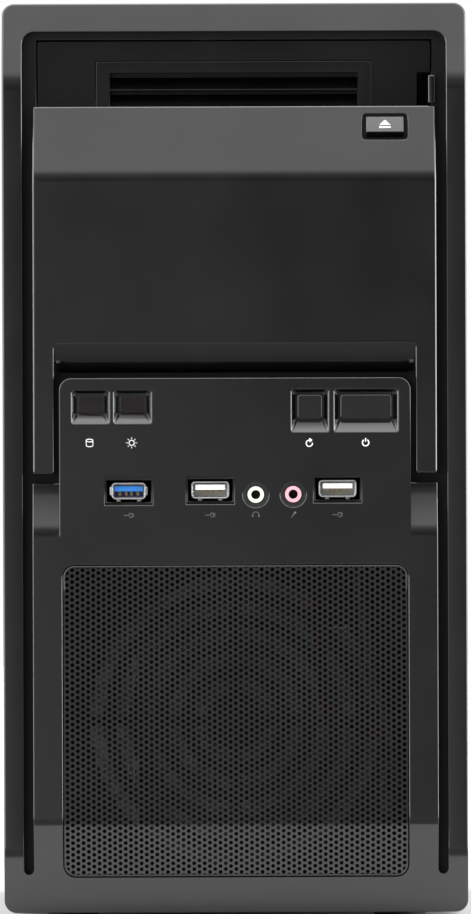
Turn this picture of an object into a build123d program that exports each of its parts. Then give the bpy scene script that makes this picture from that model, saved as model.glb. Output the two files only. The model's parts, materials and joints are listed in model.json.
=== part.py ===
"""Mini-tower desktop computer: steel chassis, moulded front bezel, inner parts and moving pieces.

Millimetres. +X is right as seen from the front, the front faces -Y, and +Z is up.
The origin is at the centre of the footprint, on the surface that the feet stand on.
Heights given through up() are measured from the lower edge of the front bezel.
"""

import os

from build123d import *

# Overall sizes
WIDTH = 180.0
BEZEL_HEIGHT = 353.0
FLOOR_GAP = 4.0
FRONT = -195.0
BEZEL_BACK = -160.0
REAR = 185.0
LOOP_END = 195.0

# Front mouldings
SKIN = 2.5
STEP_BACK = 5.0
FRAME_FRONT = FRONT + STEP_BACK
FRAME_LOW, FRAME_HIGH = 22.0, 323.0
PANEL_LOW, PANEL_HIGH, PANEL_TOP = 35.5, 148.5, 166.8
TILT = STEP_BACK / (PANEL_LOW - FRAME_LOW)
FRAME_BEND_R, SHROUD_BEND_R, SHOULDER_R, FOOT_BEND_R = 22.0, 14.0, 14.0, 11.0
FRONT_RIM_R, SHROUD_RIM_R = 0.8, 1.0
RECESS_FLOOR = FRONT + 17.0
RECESS_X, RECESS_LOW, RECESS_TOP = 82.2, 15.2, 341.9
CORNER = 4.7
PANEL_X = 78.5
TONGUE_X, TONGUE_TOP = 68.1, 207.5
SHROUD_X, SHROUD_LOW, SHROUD_BEND, SHROUD_TOP = 78.3, 170.4, 286.0, 313.0
SHROUD_GAP_X, SCOOP_LOW, SCOOP_R, SCOOP_CORNER, SCOOP_DRAFT = 70.2, 209.6, 12.2, 4.0, 18.0
SHROUD_BACK = RECESS_FLOOR - 1.3
BAY_X, BAY_LOW, BAY_TOP = 76.2, 296.0, 338.4
INSERT_X, INSERT_LOW, INSERT_TOP = 53.5, 302.0, 330.5
SLOT_X, SLOT_TOP = 48.1, 326.0
GRILLE_X, GRILLE_LOW, GRILLE_TOP = 67.0, 14.0, 135.1
GRILLE_SHEET, GRILLE_SINK, GRILLE_RIM, GRILLE_CORNER = 0.9, 0.5, 14.0, 4.4
GAP = 0.4

# Steel work
SHEET = 1.0
CHASSIS_X = 87.0
CHASSIS_Z = (6.0, 354.0)
PLATE_FRONT = BEZEL_BACK + 1.0
PANEL_SHEET = 0.8
PANEL_OUT = 89.0
FLANGE = 12.0
TRAY_X = 80.0

# Motherboard and power supply
BOARD_FACE = 71.4
BOARD = 1.6
BOARD_Y = (-22.0, 182.5)
BOARD_Z = (16.0, 260.0)
PSU_X, PSU_Y, PSU_Z = (-76.0, 74.0), (44.0, 184.0), (266.0, 352.0)
PSU_WALL = 0.8
IO_X, IO_Z = (28.9, 73.3), (103.5, 262.2)
SLOT_PITCH = 20.32
SLOT_HEIGHTS = [28.0 + SLOT_PITCH * i for i in range(4)]
FAN_REAR_AT = (-32.0, 205.0)
FAN_PSU_AT = (24.0, 309.0)
CPU_AT = (105.0, 200.0)
INLET_AT = (-48.0, 326.0)
ROCKER_AT = (-48.0, 292.0)
ROCKER_SINK, ROCKER_R = 1.0, 5.8
DRIVE_X, DRIVE_Y, DRIVE_Z = (-50.8, 50.8), (-152.0, -5.0), (222.0, 248.1)

# Fasteners
SCREW_R, SCREW_HEAD_R, SCREW_HEAD, SCREW_HOLE_R = 1.6, 3.2, 2.0, 1.8
THUMB_Z = (60.0, 300.0)
THUMB_X, THUMB_R = 83.4, 5.4
LOOP_AT = (190.3, 233.0)
LOOP_HOLE_R = 3.25

# Buttons and sockets on the front, as (low x, high x) and (low z, high z)
POCKET_DEPTH, POCKET_CORNER, POCKET_BACK = 2.4, 1.2, 4.0
WELL_GAP, CAP_R = 0.35, 1.1
LAMP_LENSES = {"drive_lamp_lens": (-60.9, -51.1), "power_lamp_lens": (-44.6, -34.8)}
LENS_Z = (193.8, 200.7)
BUTTONS = {"reset_button": (24.2, 33.8), "power_button": (40.8, 60.7)}
BUTTON_Z = (191.4, 200.9)
USB_CENTRES = {"usb3": (-41.2, 163.7), "usb2_left": (-9.6, 164.0), "usb2_right": (39.7, 164.4)}
JACKS = {"headphone_socket": (8.0, 162.2), "microphone_socket": (22.5, 162.3)}
JACK_HOLE_R = 1.8
EJECT_X, EJECT_Z, KEY_LEAN = (51.3, 65.8), (300.6, 308.6), 3.0


def up(height):
    """A height above the bezel's lower edge, as a Z."""
    return FLOOR_GAP + height


def rise(low, high):
    return (up(low), up(high))


def grow(span, by):
    return (span[0] - by, span[1] + by)


def middle(span):
    return (span[0] + span[1]) / 2


def block(x, y, z):
    """A box from its three spans."""
    size = [high - low for low, high in (x, y, z)]
    return Pos(middle(x), middle(y), middle(z)) * Box(*size)


def soft_block(x, y, z, radius):
    """A box whose four edges along Y are rounded."""
    face = Plane.XZ * RectangleRounded(x[1] - x[0], z[1] - z[0], radius)
    return extrude(Pos(middle(x), y[0], middle(z)) * face, y[1] - y[0], dir=(0, 1, 0))


def funnel(x, z, y, inner_x, inner_z, radius):
    """A tapering cutter from the mouth spans at y[0] to the inner spans at y[1], with rounded corners."""
    from_side = prism([(y[0], z[0]), (y[0], z[1]), (y[1], inner_z[1]), (y[1], inner_z[0])], x)
    plan = Polygon((x[0], y[0]), (x[1], y[0]), (inner_x[1], y[1]), (inner_x[0], y[1]))
    body = from_side & extrude(Pos(0, 0, z[0]) * plan, z[1] - z[0], dir=(0, 0, 1))
    return fillet(body.edges().filter_by(lambda e: abs((e @ 0).Y - (e @ 1).Y) > 1), radius)


def prism(points, x):
    """A (y, z) outline carried along X."""
    return extrude(Plane.YZ.offset(x[0]) * Polygon(*points), x[1] - x[0], dir=(1, 0, 0))


def rod(centre, radius, length, axis):
    turn = {"x": Rot(0, 90, 0), "y": Rot(90, 0, 0), "z": Rot(0, 0, 0)}[axis]
    return Pos(*centre) * turn * Cylinder(radius, length)


def both_sides(solid):
    """A solid and its mirror image across the middle plane."""
    return solid + mirror(solid, about=Plane.YZ)


def cable(points, radii, radius):
    """A round tube of straight runs joined by tangent arcs."""
    path = FilletPolyline(*points, radius=radii)
    section = Plane(origin=path @ 0, z_dir=path % 0) * Circle(radius)
    return sweep(section, path=path)


def outline(knots, low, high, back, sink=0.0):
    """A (y, z) outline under a front face given as (y, height) knots, moved back by sink."""
    front = [(y + sink, up(height)) for y, height in knots if low < height < high]
    ends = [(front_at(knots, height) + sink, up(height)) for height in (low, high)]
    return [ends[0], *front, ends[1], (back, up(high)), (back, up(low))]


def front_at(knots, height):
    """Where the front face lies at a height."""
    for (y0, h0), (y1, h1) in zip(knots, knots[1:]):
        if h0 < h1 and h0 <= height <= h1:
            return y0 + (y1 - y0) * (height - h0) / (h1 - h0)
    raise ValueError(height)


def round_bends(body, heights, radius):
    """Rounds the edges that run straight across the front at these heights."""
    def chosen(edge):
        ends = [edge @ 0, edge @ 1]
        level = abs(ends[0].Z - ends[1].Z) < 0.01 and abs(ends[0].X - ends[1].X) > 100
        return level and any(abs(ends[0].Z - up(height)) < 0.6 for height in heights)
    front = min(edge.center().Y for edge in body.edges())
    bends = [edge for edge in body.edges() if chosen(edge) and edge.center().Y < front + STEP_BACK]
    return fillet(bends, radius)


def tilted(y, low_bend, high_bend, low_end, high_end):
    """The knots of a flat front face that leans back below and above its bends."""
    low = (y + (low_bend - low_end) * TILT, low_end)
    high = (y + (high_end - high_bend) * TILT, high_end)
    return [low, (y, low_bend), (y, high_bend), high]


FRAME = tilted(FRAME_FRONT, FRAME_LOW, FRAME_HIGH, 0.0, BEZEL_HEIGHT)
PANEL = tilted(FRONT, PANEL_LOW, PANEL_HIGH, 0.0, PANEL_TOP)
SHROUD = tilted(FRONT, SHROUD_LOW, SHROUD_BEND, SHROUD_LOW, SHROUD_TOP)


# ---------------------------------------------------------------- front bezel

def pocket_spans(x, z, drop):
    """Mouth and floor of the pocket around a button or lens, whose mouth reaches drop below it."""
    mouth_x, mouth_z = grow(x, 2.5), (z[0] - drop, z[1] + 2.3)
    floor_x, floor_z = grow(x, 0.7), (z[0] - 1.0, z[1] + 0.9)
    return mouth_x, rise(*mouth_z), floor_x, rise(*floor_z)


def pockets():
    """(opening spans, drop) of each pocket in the raised panel."""
    lenses = [(x, LENS_Z, 4.2) for x in LAMP_LENSES.values()]
    buttons = [(x, BUTTON_Z, 5.4) for x in BUTTONS.values()]
    return lenses + buttons


def socket_recess(centre, half_x=9.25):
    x, z = centre
    return (x - half_x, x + half_x), rise(z - 5.4, z + 5.4)


def front_bezel():
    full_x = (-WIDTH / 2, WIDTH / 2)
    shell = soft_block(full_x, (FRONT - 1, BEZEL_BACK), rise(0, BEZEL_HEIGHT), CORNER)
    shell &= prism(outline(FRAME, 0, BEZEL_HEIGHT, BEZEL_BACK), full_x)
    shell = round_bends(shell, (FRAME_LOW, FRAME_HIGH), FRAME_BEND_R)
    shell = fillet([e for e in shell.edges() if on_front_rim(e)], FRONT_RIM_R)
    hollow = soft_block(grow(full_x, -SKIN), (FRONT - 1, BEZEL_BACK + 1),
                        rise(SKIN, BEZEL_HEIGHT - SKIN), CORNER - SKIN)
    hollow &= prism(outline(FRAME, 0, BEZEL_HEIGHT, BEZEL_BACK + 1, SKIN), full_x)
    tub = soft_block((-RECESS_X - SKIN, RECESS_X + SKIN), (FRONT - 1, RECESS_FLOOR + SKIN),
                     rise(RECESS_LOW - SKIN, RECESS_TOP + SKIN), CORNER + SKIN)
    body = (shell - hollow) + (shell & tub)
    body -= recess_cut()
    body += lower_panel()
    body -= panel_hollow()
    body += pocket_walls()
    return cut_front_openings(body)


def on_front_rim(edge):
    """True for the edges around the outside of the frame's front face."""
    ends = [edge @ 0, edge @ 1]
    across_whole = abs(ends[0].X - ends[1].X) > WIDTH - 3 * CORNER
    inside = across_whole and up(1) < edge.center().Z < up(BEZEL_HEIGHT - 1)
    return edge.center().Y < BEZEL_BACK - 15 and not inside


def recess_cut():
    """The inverted U between the frame and the lower panel, down both side channels."""
    y = (FRONT - 2, RECESS_FLOOR)
    upper = soft_block((-RECESS_X, RECESS_X), y, rise(60, RECESS_TOP), CORNER)
    channel = soft_block((PANEL_X, RECESS_X), y, rise(RECESS_LOW, 120), (RECESS_X - PANEL_X) / 2 - 0.01)
    keep = block((-PANEL_X, PANEL_X), y, rise(0, PANEL_TOP))
    keep += tongue(FRONT - 2, RECESS_FLOOR)
    return (upper - keep) + both_sides(channel)


def tongue(front, back, inset=0.0):
    return soft_block((-TONGUE_X + inset, TONGUE_X - inset), (front, back),
                      rise(PANEL_HIGH - 20, TONGUE_TOP - inset), CORNER - inset / 2)


def lower_panel():
    body = prism(outline(PANEL, 4.0, PANEL_TOP, RECESS_FLOOR + 1), (-PANEL_X, PANEL_X))
    body = round_bends(body, (PANEL_HIGH,), SHOULDER_R)
    body = round_bends(body, (PANEL_LOW,), FOOT_BEND_R)
    return body + tongue(FRONT, RECESS_FLOOR + 1)


def panel_hollow():
    """The space behind the lower panel and the raised panel, open at the back."""
    x = (-PANEL_X + SKIN, PANEL_X - SKIN)
    low = prism(outline(PANEL, SKIN, PANEL_TOP - SKIN, BEZEL_BACK + 1, SKIN), x)
    return low + tongue(FRONT + SKIN, BEZEL_BACK + 1, SKIN)


def pocket_walls():
    walls = []
    for x, z, drop in pockets():
        mouth_x, mouth_z, _, _ = pocket_spans(x, z, drop)
        walls.append(block(grow(mouth_x, 0.6), (FRONT + 1, FRONT + POCKET_BACK), grow(mouth_z, 1.2)))
    for centre in USB_CENTRES.values():
        x, z = socket_recess(centre)
        walls.append(block(grow(x, 1.2), (FRONT + 1, FRONT + 5.2), grow(z, 1.2)))
    result = walls[0]
    for wall in walls[1:]:
        result += wall
    return result


def cut_front_openings(body):
    grille = soft_block((-GRILLE_X, GRILLE_X), (FRONT - 1, FRONT + 14), rise(GRILLE_LOW, GRILLE_TOP), 4.8)
    body -= grille
    bay_x = (-BAY_X - GAP, BAY_X + GAP)
    body -= block(bay_x, (RECESS_FLOOR - 1, RECESS_FLOOR + 4), rise(BAY_LOW - GAP, BAY_TOP + GAP))
    body += block((75.4, 78.1), (RECESS_FLOOR - 7.5, RECESS_FLOOR + 1), rise(SHROUD_TOP + 0.8, 324.7))
    for x, z, drop in pockets():
        mouth_x, mouth_z, floor_x, floor_z = pocket_spans(x, z, drop)
        depth = (FRONT - 0.01, FRONT + POCKET_DEPTH)
        body -= funnel(mouth_x, mouth_z, depth, floor_x, floor_z, POCKET_CORNER)
    for x in LAMP_LENSES.values():
        body -= block(grow(x, -0.8), (FRONT + 2, FRONT + 5), rise(*grow(LENS_Z, -0.65)))
    for x in BUTTONS.values():
        well_z = rise(*grow(BUTTON_Z, WELL_GAP))
        body -= soft_block(grow(x, WELL_GAP), (FRONT + 2, FRONT + 5), well_z, CAP_R + WELL_GAP)
    for centre in USB_CENTRES.values():
        x, z = socket_recess(centre)
        body -= block(x, (FRONT - 1, FRONT + 3.2), z)
        body -= block(grow(x, -0.7), (FRONT + 3, FRONT + 6), grow(z, -1.3))
    for x, z in JACKS.values():
        body -= rod((x, FRONT, up(z)), 4.95, 12, "y")
    for x in (-74, 74):
        for z in (182, 276):
            body -= block((x - 1.8, x + 1.8), (RECESS_FLOOR - 2, RECESS_FLOOR + 4), rise(z - 4, z + 4))
    return body


def drive_shroud():
    x = (-SHROUD_X, SHROUD_X)
    body = prism(outline(SHROUD, SHROUD_LOW, SHROUD_TOP, SHROUD_BACK), x)
    body = round_bends(body, (SHROUD_BEND,), SHROUD_BEND_R)
    body = fillet([e for e in body.edges() if shroud_rim(e)], SHROUD_RIM_R)
    inner_x = grow(x, -2.2)
    hollow = prism(outline(SHROUD, SCOOP_LOW + 13, SHROUD_TOP - 2.2, SHROUD_BACK + 1, 2.2), inner_x)
    leg = prism(outline(SHROUD, SHROUD_LOW + 2.2, SCOOP_LOW + 14, SHROUD_BACK + 1, 2.2),
                (SHROUD_GAP_X + 2.0, SHROUD_X - 2.2))
    body -= hollow
    body -= both_sides(leg)
    body -= soft_block((-SHROUD_GAP_X, SHROUD_GAP_X), (FRONT - 2, SHROUD_BACK + 1),
                       rise(SHROUD_LOW - 20, SCOOP_LOW), 3.0)
    body -= scoop()
    key_x, key_z = grow(EJECT_X, 1.5), rise(EJECT_Z[0] - 0.9, EJECT_Z[1] + 1.1)
    body += block(grow(key_x, 1.5), (FRONT + 7, FRONT + 12.6), grow(key_z, 1.5)) & prism(
        outline(SHROUD, SHROUD_LOW, SHROUD_TOP, SHROUD_BACK, 1.0), x)
    body -= soft_block(key_x, (FRONT - 1, FRONT + 11), key_z, 1.5)
    body -= block((55.4, 61.6), (FRONT + 10, FRONT + 16), rise(302.4, 306.6))
    for side in (-74, 74):
        for z in (182, 276):
            body += block((side - 1.5, side + 1.5), (FRONT + 1.5, RECESS_FLOOR + 3), rise(z - 3, z + 3))
    return body


def shroud_rim(edge):
    """True for the edges around the shroud's front face, apart from its bend."""
    at = edge.center()
    across = abs((edge @ 0).X - (edge @ 1).X) > 1
    in_front = at.Y < SHROUD_BACK - 4
    on_side = abs(abs(at.X) - SHROUD_X) < 0.01 and in_front and not across
    on_end = across and in_front and abs(at.Z - up(SHROUD_BEND)) > SHROUD_BEND_R / 2
    return on_side or on_end


def scoop():
    """The rolled-in lower edge between the shroud's legs, with drafted ends."""
    low, high = SCOOP_LOW - 3.2, SCOOP_LOW + SCOOP_R
    corner = block((-SHROUD_X, SHROUD_X), (FRONT - 1, FRONT + SCOOP_R), rise(low, high))
    roll = rod((0, FRONT + SCOOP_R, up(high)), SCOOP_R, 2 * SHROUD_X + 1, "x")
    mouth_height = high + 1 - (low - 20)
    mouth = Plane((0, FRONT - 0.01, up(high + 1 - mouth_height / 2)), x_dir=(1, 0, 0), z_dir=(0, 1, 0))
    mouth *= RectangleRounded(2 * SHROUD_GAP_X, mouth_height, SCOOP_CORNER)
    return (corner - roll) & extrude(mouth, SCOOP_R + 0.5, taper=SCOOP_DRAFT)


def bay_cover_525():
    """Blank over the 5.25 inch bay, with a window for the 3.5 inch insert."""
    front = RECESS_FLOOR - 0.4
    body = soft_block((-BAY_X, BAY_X), (front, front + 2), rise(BAY_LOW, BAY_TOP), 1.0)
    rim = block((-74, 70), (front + 1, front + 12), rise(BAY_LOW + 2, BAY_TOP - 1))
    body += rim - block((-72.5, 68.5), (front, front + 13), rise(BAY_LOW + 3.5, BAY_TOP - 2.5))
    body -= block((71.1, BAY_X + 1), (front - 1, front + 3), rise(BAY_LOW - 1, SLOT_TOP))
    window_z = rise(INSERT_LOW - 0.1, INSERT_TOP + 0.1)
    body -= block((-INSERT_X - 0.1, INSERT_X + 0.1), (front - 1, front + 4), window_z)
    return body


def bay_insert_35():
    """3.5 inch insert: a frame with louvred slats behind its mouth."""
    front = RECESS_FLOOR - 1.2
    frame_z = rise(INSERT_LOW, INSERT_TOP)
    body = block((-INSERT_X, INSERT_X), (front, front + 14), frame_z)
    body -= block((-SLOT_X, SLOT_X), (front - 1, front + 12), rise(INSERT_LOW + 2.5, SLOT_TOP))
    for low in (INSERT_LOW + 3.2, INSERT_LOW + 9.8, INSERT_LOW + 16.4):
        slat = [(front + 2.5, up(low + 0.4)), (front + 1.9, up(low + 1.2)),
                (front + 10, up(low + 6.2)), (front + 10.6, up(low + 5.2))]
        body += prism(slat, (-SLOT_X - 1, SLOT_X + 1))
    return body


def mesh_grille():
    """Formed intake grille that follows the lower panel, with a turned-back rim."""
    x = (-GRILLE_X + GAP, GRILLE_X - GAP)
    low, high = GRILLE_LOW + GAP, GRILLE_TOP - GAP
    mask = soft_block(x, (FRONT - 1, FRONT + 30), rise(low, high), GRILLE_CORNER)
    outer = prism(outline(PANEL, low, high, FRONT + GRILLE_RIM, GRILLE_SINK), x)
    body = mask & round_bends(outer, (PANEL_LOW,), FOOT_BEND_R)
    inner = soft_block(grow(x, -GRILLE_SHEET), (FRONT - 1, FRONT + 31),
                       rise(low + GRILLE_SHEET, high - GRILLE_SHEET), GRILLE_CORNER - GRILLE_SHEET)
    hollow = prism(outline(PANEL, low, high, FRONT + 31, GRILLE_SINK + GRILLE_SHEET), x)
    return body - (inner & round_bends(hollow, (PANEL_LOW,), FOOT_BEND_R))


def lamp_lens(name):
    x = LAMP_LENSES[name]
    front = FRONT + 1.5
    cap = soft_block(x, (front, FRONT + POCKET_DEPTH), rise(*LENS_Z), 1.2)
    stem = block((middle(x) - 3.9, middle(x) + 3.9), (front + 1, FRONT + 7.6),
                 rise(middle(LENS_Z) - 2.6, middle(LENS_Z) + 2.6))
    return cap + stem


def push_button(name):
    """A button cap through its well, the collar behind that holds it in, and the stem to its switch."""
    x = BUTTONS[name]
    centre = middle(x), middle(BUTTON_Z)
    cap = soft_block(x, (FRONT + 0.5, FRONT + POCKET_BACK + 1), rise(*BUTTON_Z), CAP_R)
    cap = fillet([e for e in cap.edges() if e.center().Y < FRONT + 0.6], 0.5)
    collar = soft_block(grow(x, 1.0), (FRONT + POCKET_BACK + 0.2, FRONT + POCKET_BACK + 1.8),
                        rise(*grow(BUTTON_Z, 1.0)), CAP_R + 1.0)
    stem = block((centre[0] - 2.6, centre[0] + 2.6), (FRONT + POCKET_BACK + 1, FRONT + 8.2),
                 rise(centre[1] - 2.3, centre[1] + 2.3))
    return cap + collar + stem


def eject_key():
    """The shroud's key: a sloped upper face over a bevel, and a rod towards the drive."""
    bevel = EJECT_Z[0] + 2.0
    front = front_at(SHROUD, EJECT_Z[1]) - 0.6
    back = FRONT + 9.2
    points = [(front + 0.6, up(EJECT_Z[0])), (front - KEY_LEAN, up(bevel)), (front, up(EJECT_Z[1])),
              (back, up(EJECT_Z[1])), (back, up(EJECT_Z[0]))]
    cap = prism(points, EJECT_X)
    rod_back = block((56, 61), (back - 0.5, FRONT + 13.8), rise(303, 306))
    collar = block((54.2, 62.8), (FRONT + 12.7, FRONT + 13.8), rise(301.5, 307.5))
    return cap + rod_back + collar


# ---------------------------------------------------------------- front electronics

def control_board():
    y = FRONT + 16
    body = block((-64, 64), (y, y + 1.6), rise(187, 203))
    for x in (-10, 10):
        body += rod((x, (FRONT + 2.5 + y) / 2, up(195)), 2.5, y - FRONT - 2.5, "y")
    return body


def tact_switches():
    solids = []
    for x in BUTTONS.values():
        at = middle(x), up(middle(BUTTON_Z))
        body = block((at[0] - 3, at[0] + 3), (FRONT + 12, FRONT + 16), (at[1] - 3, at[1] + 3))
        solids.append(body + rod((at[0], FRONT + 10.9, at[1]), 1.7, 2.2, "y"))
    return solids


def lamp_diodes():
    solids = []
    for x in LAMP_LENSES.values():
        at = middle(x), up(middle(LENS_Z))
        body = rod((at[0], FRONT + 13, at[1]), 1.5, 6, "y")
        solids.append(body + rod((at[0], FRONT + 15.5, at[1]), 1.9, 1.0, "y"))
    return solids


def front_io_board():
    return block((-56, 54), (FRONT + 5.5, FRONT + 30), rise(155.0, 156.6))


def usb_shell(centre, width, height):
    """A rolled sheet shell, open at the front, standing on the board."""
    x, z = centre
    spans = (x - width / 2, x + width / 2), rise(z - height / 2, z + height / 2)
    shell = soft_block(spans[0], (FRONT + 1.2, FRONT + 15), spans[1], 1.5)
    shell -= soft_block(grow(spans[0], -0.5), (FRONT, FRONT + 14), grow(spans[1], -0.5), 1.1)
    return shell


def usb_feet(centre, height):
    """The shell's posts down to the board."""
    x, z = centre
    spans = (FRONT + 9, FRONT + 12), (up(156.6), up(z - height / 2) + 0.01)
    return [block((x + side - 0.8, x + side + 0.8), *spans) for side in (-4, 4)]


def usb3_socket_shell():
    centre = USB_CENTRES["usb3"]
    shell = usb_shell(centre, 13.2, 6.4)
    for side in (-1, 1):
        shell += block(*spring_spans(centre, side))
    for foot in usb_feet(centre, 6.4):
        shell += foot
    return shell


def spring_spans(centre, side):
    x = sorted((centre[0] + side * 6.3, centre[0] + side * 7.3))
    return tuple(x), (FRONT + 1.4, FRONT + 6), rise(centre[1] - 1.6, centre[1] + 1.6)


def usb3_socket_tongue():
    x, z = USB_CENTRES["usb3"]
    tab = block((x - 5.6, x + 5.6), (FRONT + 2.4, FRONT + 14), rise(z - 0.1, z + 2.0))
    return tab + block((x - 5.6, x + 5.6), (FRONT + 12.6, FRONT + 14), rise(z - 2.2, z + 2.2))


def usb2_socket_shells():
    shells = []
    for key in ("usb2_left", "usb2_right"):
        shell = usb_shell(USB_CENTRES[key], 14.6, 6.6)
        for foot in usb_feet(USB_CENTRES[key], 6.6):
            shell += foot
        shells.append(shell)
    return shells


def usb2_socket_tongues():
    tongues = []
    for key in ("usb2_left", "usb2_right"):
        x, z = USB_CENTRES[key]
        tab = block((x - 5.8, x + 5.8), (FRONT + 2.4, FRONT + 14), rise(z + 0.1, z + 2.2))
        tongues.append(tab + block((x - 6.2, x + 6.2), (FRONT + 12.6, FRONT + 14), rise(z - 2.4, z + 2.5)))
    return tongues


def audio_socket(name):
    """A jack barrel in its outer ring, with the body that stands on the board."""
    x, z = JACKS[name]
    ring = rod((x, FRONT + 2.0, up(z)), 4.85, 3.6, "y") - rod((x, FRONT, up(z)), 4.3, 1.6, "y")
    barrel = rod((x, FRONT + 3.4, up(z)), 3.15, 6.4, "y")
    body = block((x - 4.6, x + 4.6), (FRONT + 3.6, FRONT + 17), (up(156.6), up(z + 4.6)))
    return ring + barrel + body - rod((x, FRONT + 7, up(z)), JACK_HOLE_R, 14, "y")


# ---------------------------------------------------------------- chassis

def ring_slots(centre, rings, width, y):
    """Cutters for a vent of broken rings in a plate across Y; centre is (x, z)."""
    cutters = []
    bars = block((centre[0] - 60, centre[0] + 60), y, (centre[1] - 2, centre[1] + 2))
    bars += block((centre[0] - 2, centre[0] + 2), y, (centre[1] - 60, centre[1] + 60))
    for radius in rings:
        at = (centre[0], middle(y), centre[1])
        length = y[1] - y[0]
        ring = rod(at, radius + width / 2, length, "y") - rod(at, radius - width / 2, length + 1, "y")
        cutters.append(ring - bars)
    return cutters


def chassis_base():
    y = (PLATE_FRONT, REAR - SHEET)
    body = block((-CHASSIS_X, CHASSIS_X), y, (CHASSIS_Z[0], CHASSIS_Z[0] + SHEET))
    lip = block((CHASSIS_X - SHEET, CHASSIS_X), y, (CHASSIS_Z[0] + SHEET, CHASSIS_Z[0] + FLANGE))
    body += both_sides(lip)
    for at in range(-110, 150, 18):
        body -= block((-30, 30), (at, at + 6), (CHASSIS_Z[0] - 1, CHASSIS_Z[0] + 2))
    return body


def chassis_top():
    y = (PLATE_FRONT, REAR - SHEET)
    body = block((-CHASSIS_X, CHASSIS_X), y, (CHASSIS_Z[1] - SHEET, CHASSIS_Z[1]))
    lip = block((CHASSIS_X - SHEET, CHASSIS_X), y, (CHASSIS_Z[1] - FLANGE, CHASSIS_Z[1] - SHEET))
    return body + both_sides(lip)


def chassis_front_plate():
    y = (PLATE_FRONT, PLATE_FRONT + SHEET)
    z = (CHASSIS_Z[0] + SHEET, CHASSIS_Z[1] - SHEET)
    body = block((-CHASSIS_X + SHEET, CHASSIS_X - SHEET), y, z)
    lip = block((CHASSIS_X - SHEET, CHASSIS_X), (y[0], y[0] + FLANGE), (z[0] + FLANGE, z[1] - FLANGE))
    body += both_sides(lip)
    through = grow(y, 1)
    body -= block((-73.2, 73.2), through, rise(BAY_LOW - 1, BAY_TOP + 0.4))
    body -= block((-50, 50), through, (192, 288))
    body -= block((56, 72), through, (30, 62))
    for cutter in ring_slots((0, 78), (14, 24, 34, 44, 54), 5, through):
        body -= cutter
    return body


def chassis_rear_plate():
    y = (REAR - SHEET, REAR)
    z = (CHASSIS_Z[0], CHASSIS_Z[1])
    body = block((-CHASSIS_X, CHASSIS_X), y, z)
    through = grow(y, 1)
    body -= block((-64, 62), through, (270, 348))
    body -= block(IO_X, through, IO_Z)
    for cutter in ring_slots(FAN_REAR_AT, (14, 22, 30, 38), 4, through):
        body -= cutter
    for height in SLOT_HEIGHTS:
        body -= block((-34, 74), through, (height - 6.5, height + 6.5))
    rail = block((-42.2, -41.2), (REAR - 13, REAR - SHEET), (SLOT_HEIGHTS[0] - 9, SLOT_HEIGHTS[-1] + 9))
    body += rail
    for height in SLOT_HEIGHTS:
        body -= rod((-41.7, REAR - 7, height), SCREW_HOLE_R, 4, "x")
    for x, height in psu_screw_points() + fan_screw_points():
        body -= rod((x, middle(y), height), SCREW_HOLE_R + 0.2, 4, "y")
    for side in (-1, 1):
        for height in THUMB_Z:
            body -= rod((side * THUMB_X, middle(y), height), 2.3, 4, "y")
    loop_y, loop_z = LOOP_AT
    loop = block((-84, -82.5), (REAR - 0.5, loop_y), (loop_z - 7, loop_z + 7))
    loop += rod((-83.25, loop_y, loop_z), LOOP_END - loop_y, 1.5, "x")
    body += loop
    return body - rod((-83.25, loop_y, loop_z), LOOP_HOLE_R, 6, "x")


def motherboard_tray():
    y, z = (-42, REAR - SHEET), (CHASSIS_Z[0] + SHEET, CHASSIS_Z[1] - SHEET)
    body = block((TRAY_X, TRAY_X + SHEET), y, z)
    body += block((TRAY_X, CHASSIS_X - SHEET), (y[0] - SHEET, y[0]), z)
    cpu_y, cpu_z = CPU_AT
    body -= block((TRAY_X - 1, TRAY_X + 2), (cpu_y - 45, cpu_y + 45), (cpu_z - 45, cpu_z + 45))
    for at in (70, 140, 275):
        body -= block((TRAY_X - 1, TRAY_X + 2), (-36, -26), (at - 16, at + 16))
    return body


def drive_cage_525():
    y = (PLATE_FRONT + SHEET, -8)
    side = block((73.7, 74.7), y, (299, CHASSIS_Z[1] - SHEET))
    for at in (-130, -90, -50):
        side -= block((73, 75.5), (at, at + 14), (312, 316))
    body = both_sides(side) + block((-74.7, 74.7), y, (298, 299))
    for at in (-120, -60):
        body -= block((-30, 30), (at, at + 20), (297, 300))
    return body


def drive_cage_35():
    y = (PLATE_FRONT + SHEET, -14)
    side = block((51.2, 52.2), y, (190, 298))
    for height in (200, 262):
        side -= block((50.8, 52.6), (-120, -50), (height, height + 12))
    for at in drive_screw_points():
        side -= rod((51.7, *at), SCREW_HOLE_R, 4, "x")
    body = both_sides(side) + block((-52.2, 52.2), y, (189, 190))
    return body


def rubber_feet():
    feet = []
    for x in (-64, 64):
        for y in (-128, 154):
            foot = rod((x, y, 3), 10, 6, "z")
            foot = fillet([e for e in foot.edges() if e.center().Z < 0.1], 1.2)
            feet.append(foot - rod((x, y, 0.5), 3.5, 1.6, "z"))
    return feet


def io_shield():
    plate = block(grow(IO_X, -0.15), (REAR - SHEET, REAR - 0.2), grow(IO_Z, -0.15))
    rim = block(grow(IO_X, 1.2), (REAR - 2.2, REAR - SHEET), grow(IO_Z, 1.2))
    rim -= block(grow(IO_X, -1.2), (REAR - 3, REAR), grow(IO_Z, -1.2))
    body = plate + rim
    for x, z in rear_socket_spans():
        body -= block(grow(x, 0.3), (REAR - 4, REAR + 1), grow(z, 0.3))
    return body


def slot_covers():
    covers = []
    for height in SLOT_HEIGHTS:
        blade = block((-41.2, 76), (REAR - 2, REAR - SHEET), (height - 9.2, height + 9.2))
        tab = block((-41.2, -40.2), (REAR - 13, REAR - 2), (height - 9.2, height + 9.2))
        tab -= rod((-40.7, REAR - 7, height), SCREW_HOLE_R, 4, "x")
        covers.append(blade + tab)
    return covers


# ---------------------------------------------------------------- fasteners

def psu_screw_points():
    return [(-70, 272), (68, 272), (-70, 346), (68, 346)]


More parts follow.
